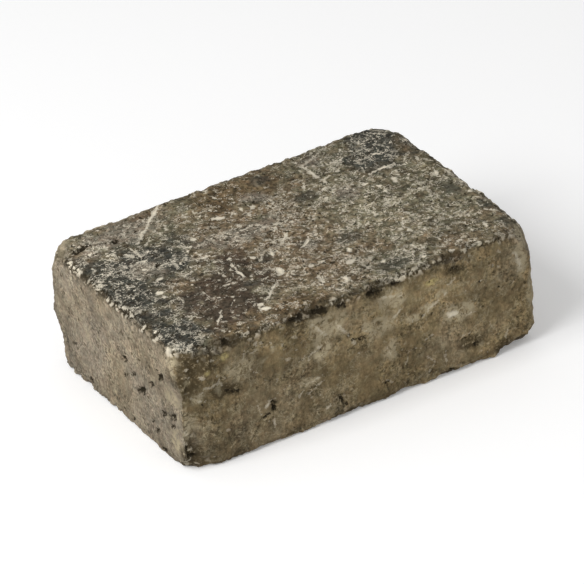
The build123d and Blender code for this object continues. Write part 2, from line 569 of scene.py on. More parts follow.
class StudioStage(bpy.types.PropertyGroup):
    """The floor, the light and the camera"""

    floor_colour: colour_setting("Floor", "Colour of the pale floor", (0.92, 0.92, 0.92))
    sky_light: FloatProperty(
        name="Sky light", description="Level of the even light all round", default=0.5, min=0
    )
    key_power: FloatProperty(
        name="Key light", description="Power of the soft lamp at the left", default=18.6, min=0, unit="POWER"
    )
    key_size: length_setting("Key size", "Width of the soft lamp", 0.9)
    lens: FloatProperty(name="Lens", description="Focal length on a 36 mm sensor", default=286.1, min=1)
    eye: FloatVectorProperty(
        name="Camera",
        description="Where the camera stands",
        default=(-0.993, -1.78, 1.2965),
        subtype="TRANSLATION",
    )
    roll: FloatProperty(
        name="Roll",
        description="Turn of the camera about its line of sight",
        default=-0.07695,
        subtype="ANGLE",
    )


# Large odd numbers that a cell's places are mixed with, the bits kept of the mix, and how it is cut in three
SEED_FACTOR = 974634777
AXIS_FACTORS = (374761393, 668265263, 2246822519)
MIX_STEPS = ((13, 1274126177), (16, 2654435761), (15, 1))
KEPT_BITS = np.uint64(2**32 - 1)
PART_SHIFTS = (0, 10, 20)
PART_LIMIT = 1023


def scatter(cells, seed):
    """Three even numbers from 0 to 1 for each cell: its places, mixed to one number and cut in three."""
    mixed = np.uint64(seed * SEED_FACTOR % 2**31)
    for axis, factor in enumerate(AXIS_FACTORS):
        mixed = mixed + cells[:, axis].astype(np.int64).astype(np.uint64) * np.uint64(factor)
    for shift, factor in MIX_STEPS:
        mixed = ((mixed ^ (mixed >> np.uint64(shift))) & KEPT_BITS) * np.uint64(factor) & KEPT_BITS
    parts = [(mixed >> np.uint64(shift)) & np.uint64(PART_LIMIT) for shift in PART_SHIFTS]
    return np.stack(parts, axis=1) / PART_LIMIT


def cells_round(steps):
    """The offsets of a cell's neighbours, for the steps that are taken along each axis."""
    return np.stack(np.meshgrid(steps, steps, steps, indexing="ij"), axis=-1).reshape(-1, 3)


# What brings the blended planes of a ripple to a height of about one
RIPPLE_GAIN = 1.9


def ripple(points, wavelength, seed):
    """Noise of about -1 to 1: each cell corner has a random slope, and a quintic blends the eight planes."""
    place = points / wavelength
    cell = np.floor(place)
    inside = place - cell
    fade = inside**3 * (inside * (inside * 6 - 15) + 10)
    total = np.zeros(len(points))
    for corner in cells_round((0, 1)):
        slopes = scatter(cell + corner, seed) * 2 - 1
        share = np.prod(np.where(corner, fade, 1 - fade), axis=1)
        total += share * np.sum(slopes * (inside - corner), axis=1)
    return total * RIPPLE_GAIN


def roughness_of(points, wavelength, octaves, seed):
    """Ripples added up, each of half the wavelength and half the height of the one before."""
    return sum(ripple(points, wavelength / 2**step, seed + step) / 2**step for step in range(octaves))


def noise_of(kind, points, seed):
    """The noise of a kind at the points: ripples added up, times its height."""
    wavelength, octaves, step, height = NOISES[kind]
    return height * roughness_of(points, wavelength, octaves, seed + step)


def drift_of(kind, points, seed):
    """The push of a kind at the points: along each axis, ripples added up, times its height."""
    wavelength, octaves, steps, height = DRIFTS[kind]
    pushes = [roughness_of(points, wavelength, octaves, seed + step) for step in steps]
    return height * np.stack(pushes, axis=1)


def step_between(value, low, high):
    """A smooth step: 0 below low, 1 above high, and a cubic between them."""
    share = np.clip((value - low) / (high - low), 0, 1)
    return share * share * (3 - 2 * share)


def bowls(kind, points, seed):
    """Round hollows at random: a share of the cells holds one, as deep as one less the distance squared."""
    pitch, share, (least, greatest), step = PITS[kind]
    place = points / pitch
    cell = np.floor(place)
    deepest = np.zeros(len(points))
    for offset in cells_round((-1, 0, 1)):
        home = cell + offset
        pick = scatter(home, seed + step + 1)
        radius = least + (greatest - least) * pick[:, 0] ** 2
        gap = np.linalg.norm(place - home - scatter(home, seed + step), axis=1) * pitch / radius
        bowl = np.clip(1 - gap**2, 0, 1) * radius / greatest
        deepest = np.maximum(deepest, np.where(pick[:, 1] < share, bowl, 0))
    return deepest


def cobbles(points, pitch, seed):
    """Packed stones round random middles: how far points are inside a stone, and the stone's number.

    The first is the distance to the second nearest middle less that to the nearest, over the pitch.
    """
    place = points / pitch
    cell = np.floor(place)
    nearest = np.full(len(points), np.inf)
    second = np.full(len(points), np.inf)
    number = np.zeros(len(points))
    for offset in cells_round((-1, 0, 1)):
        home = cell + offset
        gap = np.linalg.norm(place - home - scatter(home, seed), axis=1)
        number = np.where(gap < nearest, scatter(home, seed + 1)[:, 0], number)
        second = np.minimum(second, np.maximum(gap, nearest))
        nearest = np.minimum(nearest, gap)
    return second - nearest, number


def box_lattice(counts):
    """The skin of a box of whole-number points, welded, with its squares and the face that each lies on.

    The points of the six faces are numbered once in a solid array of indices, so faces share their edges.
    """
    shape = np.array(counts) + 1
    place = np.indices(shape).reshape(3, -1).T
    on_skin = np.any((place == 0) | (place == np.array(counts)), axis=1)
    index = np.full(len(place), -1)
    index[on_skin] = np.arange(on_skin.sum())
    index = index.reshape(shape)
    squares = []
    faces = []
    for axis in range(3):
        for end in (0, -1):
            sheet = np.take(index, end, axis=axis)
            round_square = (sheet[:-1, :-1], sheet[1:, :-1], sheet[1:, 1:], sheet[:-1, 1:])
            square = np.stack(round_square, axis=-1).reshape(-1, 4)
            outward = (end == -1) == (axis != 1)
            squares.append(square if outward else square[:, ::-1])
            faces.append(np.full(len(square), axis * 2 + (end == -1)))
    return place[on_skin] / np.array(counts), np.concatenate(squares), np.concatenate(faces)


def knocked_plane(over_one, over_two, leg_one, leg_two):
    """How far points are outside the plane that takes one leg off each of two faces that meet."""
    return (over_one / leg_one + over_two / leg_two + 1) / np.hypot(1 / leg_one, 1 / leg_two)


def facet_legs(corner, height):
    """A corner facet's legs at each height: least at the waist, and growing with a power away from it."""
    away = 2 * height / HEIGHT - 1
    growth = np.abs(away) ** corner["power"]
    return [
        waist + (np.where(away > 0, top, bed) - waist) * growth
        for waist, top, bed in zip(corner["waist"], corner["top"], corner["bed"])
    ]


def spall_ball(place, span, bite):
    """Centre and radius of the ball that scoops a spall of that span and bite off a sharp edge or corner."""
    radius = (span / 2) ** 2 / (2 * bite) + bite / 2
    place = np.array(place)
    outward = np.where(np.abs(place) == 1, place, 0)
    centre = place * HALF + outward / np.linalg.norm(outward) * (radius - bite)
    return centre + (0, 0, HEIGHT / 2), radius


# The most softnesses that a distance counts, which keeps the exponentials finite
SOFT_LIMIT = 60


def soft_max(planes, soft):
    """A maximum with rounded meets: the logarithm of the summed exponentials, in units of the softness."""
    return soft * np.log(sum(np.exp(np.clip(plane / soft, -SOFT_LIMIT, SOFT_LIMIT)) for plane in planes))


def outside_worn(points, crumble, shape):
    """How far points are outside the worn block and outside what its spalls leave, in two arrays.

    In plan the worn block is its sides and a facet at each corner, with rounded meets. A plane along that
    outline takes off the top arris and another the bed arris, each as wide as the wear of the sides nearby,
    and the faces of the mould cut off what stands outside them. A spall is a ball, so a point is outside
    what it leaves by the radius less its distance from the centre.
    """
    over = {name: sign * points[:, axis] - HALF[axis] for name, (axis, sign) in SIDES.items()}
    top = points[:, 2] - HEIGHT
    bed = -points[:, 2]
    plan = np.full(len(points), -LENGTH)
    for (x_side, y_side), corner in CORNERS.items():
        meeting = (over[x_side] - STANDING_OUT, over[y_side] - STANDING_OUT)
        legs = facet_legs(corner, points[:, 2])
        facet = knocked_plane(*meeting, *legs) + crumble
        soft = corner["ease"] * EASE_SOFTNESS * np.mean(legs, axis=0)
        plan = np.maximum(plan, soft_max((*meeting, facet), soft))
    nearness = np.exp(np.stack(list(over.values())) / WEAR_BLEND)
    nearness /= nearness.sum(axis=0)
    arrises = []
    for end, wear, arris in ((top, shape.top_wear, shape.top_arris), (bed, shape.bed_wear, shape.bed_arris)):
        legs = (TANGENT_SHARE / MM * (np.array(wear) @ nearness), TANGENT_SHARE / MM * arris)
        arrises.append(knocked_plane(plan, end, *legs) + crumble)
    shell = np.max([*over.values(), plan], axis=0)
    worn = soft_max((shell, top, bed, *arrises), shape.softness / MM)
    balls = [spall_ball(*spall) for spall in SPALLS]
    spalled = np.max([radius - np.linalg.norm(points - centre, axis=1) for centre, radius in balls], axis=0)
    return worn, spalled + crumble * SPALL_CRUMBLE


def carry_to_skin(nominal, crumble, shape, margin=16.0, rounds=24):
    """Moves the points of a plain box onto the worn block, along a fan from a core that lies inside it.

    Each point is joined to the nearest point of the core, and the place where that line leaves the block is
    found by halving.
    """
    core = np.clip(nominal, BLOCK_LOW + margin, BLOCK_HIGH - margin)
    way = nominal - core
    near = np.zeros(len(nominal))
    far = np.ones(len(nominal))
    for _ in range(rounds):
        middle = (near + far) / 2
        outside = np.maximum(*outside_worn(core + way * middle[:, None], crumble, shape)) > 0
        far = np.where(outside, middle, far)
        near = np.where(outside, near, middle)
    return core + way * near[:, None]


def skin_normals(points, squares):
    """Outward unit directions at the points: the crossed diagonals of the squares round each, added up."""
    corner = points[squares]
    crossed = np.cross(corner[:, 2] - corner[:, 0], corner[:, 3] - corner[:, 1])
    shared = np.repeat(crossed, 4, axis=0)
    sums = [np.bincount(squares.ravel(), shared[:, axis], len(points)) for axis in range(3)]
    normals = np.stack(sums, axis=1)
    return normals / np.linalg.norm(normals, axis=1, keepdims=True)


def zone_share(points, spans):
    """How far points are inside a zone: the product of a smooth step along each axis that bounds it."""
    steps = [step_between(sign * points[:, axis], low, high) for axis, sign, low, high in spans]
    return np.prod(steps, axis=0)


def patch_weights(points, seed):
    """Weight of each kind of patch: the strongest bell round a middle, with its edge broken by noise.

    The bells are also pushed about, by noise times a share of their middle half width.
    """
    drift = drift_of("patches", points, seed)
    fray = noise_of("patch edges", points, seed)
    weights = {}
    for name, patches in PATCHES.items():
        best = np.zeros(len(points))
        for middle, half in patches:
            moved = points + PATCH_WANDER * sorted(half)[1] * drift
            best = np.maximum(best, np.exp(-np.sum(((moved - middle) / half) ** 2, axis=1)))
        weights[name] = step_between(best + fray, *SPANS["patch"])
    return weights


def gap_to_line(points, start, end):
    """Distance of points from the stretch between two ends, and how far along it they lie, as a share."""
    way = end - start
    share = np.clip((points - start) @ way / (way @ way), 0, 1)
    return np.linalg.norm(points - start - share[:, None] * way, axis=1), share


def score_marks(points, face, seed):
    """How strongly each point of a face is scored: full on a line, and falling evenly over its reach.

    The lines are those seen on the face, and strays between them at random. Each wanders, comes and goes by
    noise, and weakens with the square of the way to its ends.
    """
    plane = list(SEEN_FACES[face][2])
    random = np.random.default_rng(seed)
    lines = [(np.array(start), np.array(end), strength) for start, end, strength in SCORES[face]]
    for _ in range(STRAY_SCORES[face]):
        start = random.uniform((BLOCK_LOW + STRAY_MARGIN)[plane], (BLOCK_HIGH - STRAY_MARGIN)[plane])
        turn = random.uniform(0, np.pi)
        end = start + random.uniform(*STRAY_LENGTH) * np.array([np.cos(turn), np.sin(turn)])
        lines.append((start, end, random.uniform(*STRAY_STRENGTH)))
    wander = points[:, plane] + drift_of("scores", points, seed)
    marks = np.zeros(len(points))
    for start, end, strength in lines:
        gap, share = gap_to_line(wander, start, end)
        marks = np.maximum(marks, strength - SCORE_TAPER * (2 * share - 1) ** 2 - gap / SCORE_REACH)
    return np.clip(marks + noise_of("score gaps", points, seed), 0, 1)


def hollow_depth(points, normals, seed):
    """Depth of the hollows seen on the faces, each a bowl with an uneven rim, and how far in one a point is.

    The second falls evenly with the distance in the face, and passes the rim's level at the rim.
    """
    uneven = 1 + noise_of("hollow rims", points, seed)
    depth = np.zeros(len(points))
    inside = np.zeros(len(points))
    for face, hollows in HOLLOWS.items():
        axis, sign, plane = SEEN_FACES[face]
        facing = step_between(sign * normals[:, axis], *SPANS["hollowed side"])
        for start, end, radius, deep in hollows:
            gap, _ = gap_to_line(points[:, plane], np.array(start), np.array(end))
            bowl = np.clip(1 - (gap / (np.maximum(radius, LEAST_RADIUS) * uneven)) ** 2, 0, 1)
            depth = np.maximum(depth, deep * bowl * facing)
            inside = np.maximum(inside, (RIM_LEVEL + (radius * uneven - gap) / HOLLOW_REACH) * facing)
    return depth, np.clip(inside, 0, 1)


def arris_chips(points, to_edge, near_top, seed):
    """How thickly chips crowd along the top arrises: a band beside the edge, times its side's share."""
    to_sides = [HALF[axis] - sign * points[:, axis] for axis, sign in SIDES.values()]
    thickness = np.array(list(ARRIS_CHIPS.values()))[np.argmin(to_sides, axis=0)]
    band = step_between(to_edge + noise_of("arris line", points, seed), *SPANS["arris band"])
    return band * near_top * thickness


def worn_skin(shape):
    """The skin's points, its squares with their face and lattice place, and the marks that colour follows.

    A plain box is carried to the worn form, and its points then move along their normals by the relief:
    swell, lumps, grain and gravel stand out about a mean level, and pits, scores and hollows go below it.
    """
    seed = shape.seed
    lattice, squares, faces = box_lattice(shape.grid)
    nominal = BLOCK_LOW + lattice * (BLOCK_HIGH - BLOCK_LOW)
    uneven = {name: zone_share(nominal, zone["spans"]) for name, zone in UNEVEN_ZONES.items()}
    unevenness = sum((zone["adds"] * uneven[name] for name, zone in UNEVEN_ZONES.items()), PLAIN_UNEVENNESS)
    crumble = shape.crumble / MM * noise_of("crumble", nominal, seed) * unevenness
    base = carry_to_skin(nominal, crumble, shape)
    normals = skin_normals(base, squares)

    # Where an edge is near, where a spall is open, and where the dyed face still lies
    weights = patch_weights(base, seed)
    to_edge = np.sort(HALF - np.abs(base - (0, 0, HEIGHT / 2)), axis=1)[:, 1]
    edge = step_between(to_edge + noise_of("edge line", base, seed), *SPANS["edge"])
    broken = step_between(noise_of("edge gaps", base, seed), *SPANS["edge gaps"])
    edge *= EDGE_LEAST + (1 - EDGE_LEAST) * broken
    spall = step_between(outside_worn(base, crumble, shape)[1], *SPANS["spall"])
    rough_edge = np.maximum(edge, SPALL_SHARE * spall)
    near_top = step_between(base[:, 2], *SPANS["near top"])
    dyed = step_between(base[:, 2] + noise_of("dye line", base, seed), *SPANS["dyed"])
    dyed *= step_between(normals[:, 2], *SPANS["upward"]) * (1 - weights["bare"])
    frontward = step_between(-normals[:, 1] + noise_of("front line", base, seed), *SPANS["frontward"])
    on_front = step_between(-normals[:, 1], *SPANS["seen side"])
    on_seen_side = step_between(-normals[:, :2].min(axis=1), *SPANS["seen side"])

    # What is cut below the mean level
    hollow, in_hollow = hollow_depth(base, normals, seed)
    score = score_marks(base, "top", seed) * dyed
    scuff = score_marks(base, "front", seed) * on_front * (1 - dyed)
    fine_pits = bowls("fine", base, seed) * (1 - np.maximum(score, scuff))
    bug_holes = bowls("bug hole", base, seed) * (1 - dyed) * (1 - on_seen_side)
    cut = shape.pitting / MM * (FINE_DEPTH * fine_pits + BUG_HOLE_DEPTH * bug_holes) + SCORE_DEPTH * score

    # What stands out about it
    within, stone = cobbles(base + drift_of("gravel", base, seed), GRAVEL_PITCH, seed + GRAVEL_SEED)
    gravel = (stone - 0.5) * STONE_HEIGHT - STONE_GAP * step_between(within, *SPANS["stone gap"])
    rough = PLAIN_ROUGHNESS + EDGE_ROUGHNESS * rough_edge
    height = shape.swell / MM * noise_of("swell", base, seed)
    height += shape.lump / MM * noise_of("lumps", base, seed) * rough
    height += shape.grain / MM * noise_of("grain", base, seed) * (rough + DYED_ROUGHNESS * dyed)
    height += shape.chunk / MM * rough_edge * (gravel - TOP_LOSS * near_top)
    relief = height - MEAN_DROP - cut - hollow
    points = np.clip(base + normals * relief[:, None], BLOCK_LOW, BLOCK_HIGH)

    # What colour follows
    pits = (
        in_hollow,
        step_between(bug_holes, *SPANS["bug hole"]),
        FINE_PIT_MARK * step_between(fine_pits, *SPANS["fine pit"]),
    )
    other_chips = (OTHER_CHIPS + CORNER_CHIPS * uneven["front left"]) * rough_edge
    earth = FRONT_EARTH * frontward + noise_of("earth", base, seed) + PLAIN_EARTH
    front_gradient = GRADIENT_BASE - GRADIENT_ALONG * base[:, 0] / HALF[0] - GRADIENT_UP * base[:, 2] / HEIGHT
    marks = {
        "dyed": dyed,
        "spall": spall,
        "crumb": np.maximum(arris_chips(base, to_edge, near_top, seed), other_chips),
        "stone": stone,
        "within": within,
        # This mark paints shade into hollows and highlight onto crests
        "relief": np.clip(0.5 + RELIEF_SHADE_GAIN * (height - RELIEF_SHADE_MIDDLE), 0, 1),
        "pit": np.max(pits, axis=0),
        "score": score,
        "scuff": scuff,
        "ochre": np.clip(earth * (1 - weights["bare"]), 0, 1),
        "front_gradient": frontward * np.clip(front_gradient, 0, 1),
        **weights,
    }
    return points, squares, faces, lattice, marks


# The six faces on a square sheet for baking: the low corner of each in millimetres, and the lattice axes
# that run across it and along it
BAKE_SHEET = 356.0
BAKE_PLACES = {
    5: ((1, 1), (0, 1)),
    4: ((1, 143), (0, 1)),
    2: ((1, 285), (0, 2)),
    3: ((213, 1), (2, 0)),
    0: ((213, 213), (2, 1)),
    1: ((285, 1), (2, 1)),
}


def bake_places(squares, faces, lattice):
    """Where each square's corners lie on the bake sheet: their lattice place at true scale, face by face."""
    spread = lattice * (LENGTH, WIDTH, HEIGHT)
    places = np.zeros((len(squares), 4, 2))
    for face, (corner, (across, along)) in BAKE_PLACES.items():
        mine = faces == face
        places[mine] = spread[squares[mine]][:, :, [across, along]] + corner
    return places / BAKE_SHEET


def skin_object(name, points, squares, marks, places):
    """Puts whole arrays into a new mesh, with marks as attributes and a bake sheet, and links its object."""
    mesh = bpy.data.meshes.new(name)
    mesh.from_pydata((points * MM).tolist(), [], squares.tolist())
    mesh.polygons.foreach_set("use_smooth", np.ones(len(squares), bool))
    for mark, values in marks.items():
        mesh.attributes.new(mark, "FLOAT", "POINT").data.foreach_set("value", values.astype(np.float32))
    mesh.uv_layers.new(name="OFBake").data.foreach_set("uv", places.astype(np.float32).ravel())
    mesh.update()
    piece = bpy.data.objects.new(name, mesh)
    bpy.context.scene.collection.objects.link(piece)
    return piece


# Noise patterns of the concrete: the size in millimetres, detail, roughness and distortion of the noise,
# then the values between which it passes from one end to the other, and those ends where they aren't 0 and 1
PATTERNS = {
    "dye clouds": ((34, 4, 0.6), (0.38, 0.62)),
    "dye tint": ((3.6, 4, 0.6), (0.35, 0.65)),
    "dye mottle": ((8, 4, 0.65), (0.3, 0.7, 0.7, 1.3)),
    "dye grain": ((2.4, 4, 0.65), (0.3, 0.7, 0.44, 1.56)),
    "crowd": ((9, 3, 0.6), (0.36, 0.62, -0.065, 0.04)),
    "clumps": ((3.6, 5, 0.65, 0.8), (0.605, 0.655)),
    "sand": ((1.9, 3, 0.6, 0.7), (0.615, 0.67)),
    "curls": ((5, 2), (0.49, 0.55)),
    "dark": ((2.6, 3, 0.65, 0.8), (0.44, 0.36)),
    "body tint": ((4, 4, 0.6), (0.35, 0.65, 0.2, 0.8)),
    "body clouds": ((22, 4, 0.65), (0.32, 0.68, 0.82, 1.18)),
    "body mottle": ((6, 4, 0.65), (0.32, 0.68, 0.78, 1.22)),
    "rough": ((13, 4, 0.65), (0.42, 0.6, 0.25, 1.0)),
    "rough grain": ((1.5, 4, 0.65), (0.32, 0.68, 0.48, 1.52)),
    "drags": ((1.5, 3, 0.6, 0.3), (0.3, 0.7, 0.86, 1.14)),
    "smears": ((2.8, 4, 0.7, 0.8), (0.57, 0.63)),
    "scratches": ((8, 3), (0.52, 0.58)),
    "specks": ((2.2, 3, 0.6, 0.5), (0.38, 0.33)),
    "stain_and_shade": ((2, 4, 0.65), (0.4, 0.53, 0.45, 1.0)),
    "grit": ((2, 4, 0.65), (0.4, 0.34)),
    "bloom": ((3.6, 5, 0.75, 0.7), (0.41, 0.55, 0.05, 1.0)),
    "spall": ((4,), (0.4, 0.6, 0.2, 0.6)),
    "stone edges": ((1.3, 3, 0.6), (0.3, 0.7, -0.15, 0.15)),
    "line edges": ((1.8, 3, 0.7), (0.25, 0.75, -0.36, 0.22)),
    "pit edges": ((1.4, 3, 0.6), (0.25, 0.75, -0.38, 0.26)),
    "lichen": ((1.6, 2), (0.4, 0.55, 0.4, 0.95)),
    "gloss": ((2, 3), (0.3, 0.7, 0.82, 0.97)),
}

# The same values and ends for marks and for the grains' numbers and distances
RANGES = {
    "lump number": (0.945, 0.955),
    "lump middle": (0.36, 0.24),
    "grain middle": (0.42, 0.3),
    "pale number": (0.88, 0.92),
    "speck number": (0.1, 0.07),
    "chip stone": (0.48, 0.62),
    "chip within": (0.12, 0.32),
    "gap stone": (0.24, 0.16),
    "gap within": (0.24, 0.06),
    "hairline": (0.022, 0.008),
    "line": (0.5, 0.62),
    "score": (0.65, 1.0, 0.6, 1.0),
    "scuff": (0.65, 1.0, 0.25, 0.56),
    "front_gradient": (0.0, 1.0, 1.15, 0.8),
    "relief": (0.1, 0.9, 0.7, 1.2),
    "pit": (0.46, 0.74, 0.0, 0.95),
    "bump": (0.0, 1.0, 0.7, 0.9),
}

# The noise whose middle value draws hairlines: its detail, roughness and distortion
HAIRLINE_NOISE = (4, 0.6, 1.2)


class FinishTree:
    """Short calls that add nodes to a material and join them."""

    def __init__(self, name):
        self.material = bpy.data.materials.new(name)
        self.material.use_nodes = True
        self.nodes = self.material.node_tree.nodes
        self.links = self.material.node_tree.links
        self.shader = self.nodes["Principled BSDF"]
        self.place = self.add("ShaderNodeTexCoord").outputs["Object"]

    def add(self, kind, **settings):
        """A new node with those settings."""
        node = self.nodes.new(kind)
        for name, value in settings.items():
            setattr(node, name, value)
        return node

    def feed(self, socket, value):
        """Links a socket to another, or sets it to a plain value."""
        if isinstance(value, bpy.types.NodeSocket):
            self.links.new(value, socket)
        else:
            socket.default_value = value

    def mark(self, name):
        """The piece's own attribute of that name."""
        return self.add("ShaderNodeAttribute", attribute_name=name).outputs["Fac"]

    def stretched(self, scale):
        """The place on the piece, stretched along its axes."""
        node = self.add("ShaderNodeMapping")
        self.feed(node.inputs["Vector"], self.place)
        node.inputs["Scale"].default_value = scale
        return node.outputs["Vector"]

    def noise(self, size, detail=3.0, rough=0.55, distortion=0.0, place=None):
        """Soft noise whose blotches are about that many millimetres across."""
        node = self.add("ShaderNodeTexNoise")
        self.feed(node.inputs["Vector"], place or self.place)
        node.inputs["Scale"].default_value = 1 / (size * MM)
        node.inputs["Detail"].default_value = detail
        node.inputs["Roughness"].default_value = rough
        node.inputs["Distortion"].default_value = distortion
        return node.outputs["Fac"]

    def warped(self, size, reach):
        """The place on the piece, pushed about by noise of that size as far as reach, in millimetres."""
        noise = self.add("ShaderNodeTexNoise")
        self.feed(noise.inputs["Vector"], self.place)
        noise.inputs["Scale"].default_value = 1 / (size * MM)
        push = self.add("ShaderNodeVectorMath", operation="MULTIPLY_ADD")
        self.links.new(noise.outputs["Color"], push.inputs[0])
        push.inputs[1].default_value = (2 * reach * MM,) * 3
        self.feed(push.inputs[2], self.place)
        return push.outputs["Vector"]

    def grains(self, size, place=None):
        """Grains that many millimetres across: an even number for each, and the distance from its middle."""
        node = self.add("ShaderNodeTexVoronoi")
        self.feed(node.inputs["Vector"], place or self.place)
        node.inputs["Scale"].default_value = 1 / (size * MM)
        parts = self.add("ShaderNodeSeparateColor")
        self.links.new(node.outputs["Color"], parts.inputs["Color"])
        return parts.outputs["Red"], node.outputs["Distance"]

    def pattern(self, kind, push=None, place=None):
        """The noise pattern of a kind, whose noise may be pushed up or down first."""
        noise, ends = PATTERNS[kind]
        value = self.noise(*noise, place=place)
        return self.ramp(self.total(value, push) if push else value, *ends)

    def ranged(self, value, kind):
        """A value carried over the range of a kind."""
        return self.ramp(value, *RANGES[kind])

    def hairlines(self, sizes):
        """Thin curling lines, where noise of each of those sizes passes its middle value."""
        gaps = [self.maths("SUBTRACT", self.noise(size, *HAIRLINE_NOISE), 0.5) for size in sizes]
        return self.strongest(*(self.ranged(self.maths("ABSOLUTE", gap, 0.0), "hairline") for gap in gaps))

    def frayed(self, kind):
        """The marked lines of a kind, with ragged edges and gaps, and stronger where they are bold."""
        lines = self.mark(kind)
        ragged = self.total(lines, self.pattern("line edges"))
        return self.times(self.ranged(ragged, "line"), self.ranged(lines, kind))

    def ramp(self, value, low, high, start=0.0, end=1.0):
        """A smooth step of a value, from start at low to end at high."""
        node = self.add("ShaderNodeMapRange", interpolation_type="SMOOTHSTEP")
        given = {"Value": value, "From Min": low, "From Max": high, "To Min": start, "To Max": end}
        for socket, entry in given.items():
            self.feed(node.inputs[socket], entry)
        return node.outputs["Result"]

    def maths(self, operation, one, two):
        """Two values put together."""
        node = self.add("ShaderNodeMath", operation=operation)
        self.feed(node.inputs[0], one)
        self.feed(node.inputs[1], two)
        return node.outputs["Value"]

    def joined(self, operation, *values):
        """Values put together one after another."""
        total = values[0]
        for value in values[1:]:
            total = self.maths(operation, total, value)
        return total

    def times(self, *values):
        """Values multiplied together."""
        return self.joined("MULTIPLY", *values)

    def total(self, *values):
        """Values added up."""
        return self.joined("ADD", *values)

    def strongest(self, *values):
        """The greatest of some values."""
        return self.joined("MAXIMUM", *values)

    def mix(self, share, one, two):
        """Two colours mixed by a share."""
        node = self.add("ShaderNodeMix", data_type="RGBA")
        for socket, given in ((0, share), (6, one), (7, two)):
            is_plain_colour = socket > 0 and not isinstance(given, bpy.types.NodeSocket)
            self.feed(node.inputs[socket], (*given[:3], 1.0) if is_plain_colour else given)
        return node.outputs[2]

    def shade(self, colour, factor):
        """A colour made lighter or darker by a factor."""
        node = self.add("ShaderNodeMix", data_type="RGBA", blend_type="MULTIPLY")
        node.inputs[0].default_value = 1.0
        self.feed(node.inputs[6], colour)
        self.feed(node.inputs[7], factor)
        return node.outputs[2]


# How strongly each layer covers what lies under it
COVER = {
    "dye": 0.9,
    "smoke": 0.6,
    "clumps": 0.62,
    "sand": 0.8,
    "curls": 0.6,
    "dark": 0.95,
    "lumps": 0.85,
    "bare": 0.45,
    "smears": 0.6,
    "pale": 0.4,
    "scratches": 0.4,
    "specks": 0.85,
    "stain_and_shade": 0.92,
    "grit": 0.7,
    "bloom": 0.9,
    "gaps": 0.85,
    "chips": 0.56,
}

# How much more or less thickly flecks crowd on each dye of the top
CROWDING = {"charcoal": 0.02, "smoke": -0.05, "plum": -0.04, "russet": -0.05, "umber": 0.03, "olive": 0.03}

# Sizes in millimetres of curls and scratches, and of lumps and single grains with the noise that warps them
CURL_SIZES = (8.0, 4.4)
SCRATCH_SIZES = (9.0, 5.0)
LUMP_SIZE = 5.0
LUMP_WARP = (3.0, 1.2)
GRAIN_SIZE = 2.6
GRAIN_WARP = (2.4, 1.0)

# How drag marks are stretched, which run down the sides
DRAG_STRETCH = (1.0, 1.0, 0.3)

# How dark the dirt and painted shade are at the bottom of a pit, as a share of the grime elsewhere
PIT_SHADE = 0.62

# Tints that colours wander between, warm and cool
WARM_TINT = (1.05, 0.985, 0.96)
COOL_TINT = (0.955, 1.012, 1.025)

# Gloss and fine bump: the noise and the grains that the bump adds up, what a grain counts, and its height
SPECULAR_LEVEL = 0.1
BUMP_NOISE = (1.1, 4, 0.65)
BUMP_GRAIN = 1.3
BUMP_GRAIN_SHARE = -0.35
BUMP_HEIGHT = 0.45


def weathered_top(tree, finish):
    """Dyed face of the paver: clouds of dye, mottled, with flecks of sand, curls of lime and scores."""
    dye = tree.mix(tree.pattern("dye clouds"), finish.olive, finish.umber)
    for name in DYES:
        dye = tree.mix(tree.times(tree.mark(name), COVER["dye"]), dye, getattr(finish, name))
    dye = tree.mix(tree.times(tree.mark("smoke"), COVER["smoke"]), dye, finish.charcoal)
    dye = tree.shade(dye, tree.mix(tree.pattern("dye tint"), WARM_TINT, COOL_TINT))
    for kind in ("dye mottle", "dye grain"):
        dye = tree.shade(dye, tree.pattern(kind))

    crowding = [tree.times(tree.mark(name), share) for name, share in CROWDING.items()]
    crowd = tree.total(tree.pattern("crowd"), *crowding)
    flecks = {kind: tree.pattern(kind, crowd) for kind in ("clumps", "sand", "curls")}
    flecks["curls"] = tree.times(flecks["curls"], tree.hairlines(CURL_SIZES))
    covers = [tree.times(share, COVER[kind]) for kind, share in flecks.items()]
    top = tree.mix(tree.strongest(*covers), dye, finish.lime)
    top = tree.mix(tree.times(tree.pattern("dark"), COVER["dark"]), top, finish.grime_and_shade)
    number, middle = tree.grains(LUMP_SIZE, tree.warped(*LUMP_WARP))
    lumps = tree.times(tree.ranged(number, "lump number"), tree.ranged(middle, "lump middle"))
    lumps = tree.times(lumps, COVER["lumps"])
    return tree.mix(tree.strongest(lumps, tree.frayed("score")), top, finish.lime)


